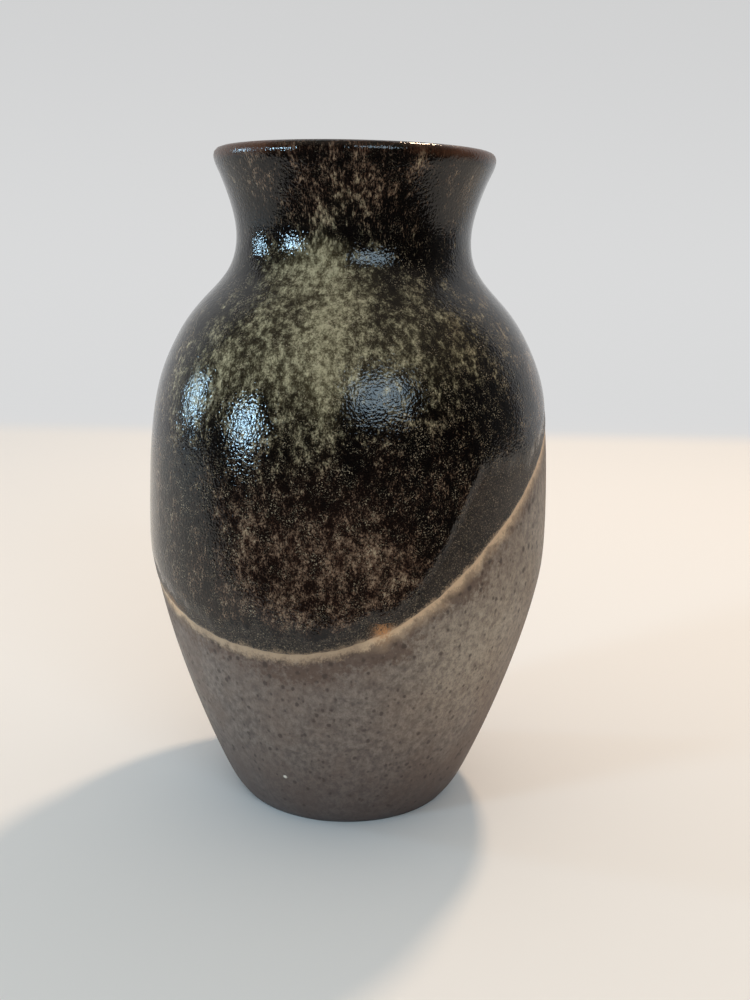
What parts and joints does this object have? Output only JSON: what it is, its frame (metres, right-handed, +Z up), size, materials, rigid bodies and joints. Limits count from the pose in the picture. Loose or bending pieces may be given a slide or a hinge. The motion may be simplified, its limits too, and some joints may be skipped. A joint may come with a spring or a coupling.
{
  "type": "stoneware vase",
  "caption": "Wheel-thrown stoneware vase with a round belly, narrow neck and flared lip, slant-dipped in dark glaze over a bare clay foot.",
  "frame": {"origin": "centre of the foot, on the surface that the vase stands on", "axes": "+Z up along the axis it was thrown on, -Y towards the front, where the glaze line hangs lowest on the left and climbs to the right"},
  "size_m": [0.1055, 0.1055, 0.17],
  "materials": {
    "bare_clay": "matte iron-speckled stoneware, warm grey-brown, darker towards the foot",
    "satin_glaze": "thin satin iron glaze, charcoal, with a buff halo along its lower edge",
    "glossy_glaze": "glossy near-black iron glaze with olive mottling and fine crystals, rust-brown where it thins over the lip",
    "liner_glaze": "glossy dark brown liner glaze"
  },
  "bodies": {
    "root": {"clay_body": "bare_clay", "base_glaze": "satin_glaze", "top_glaze": "glossy_glaze", "inner_glaze": "liner_glaze"}
  },
  "joints": []
}
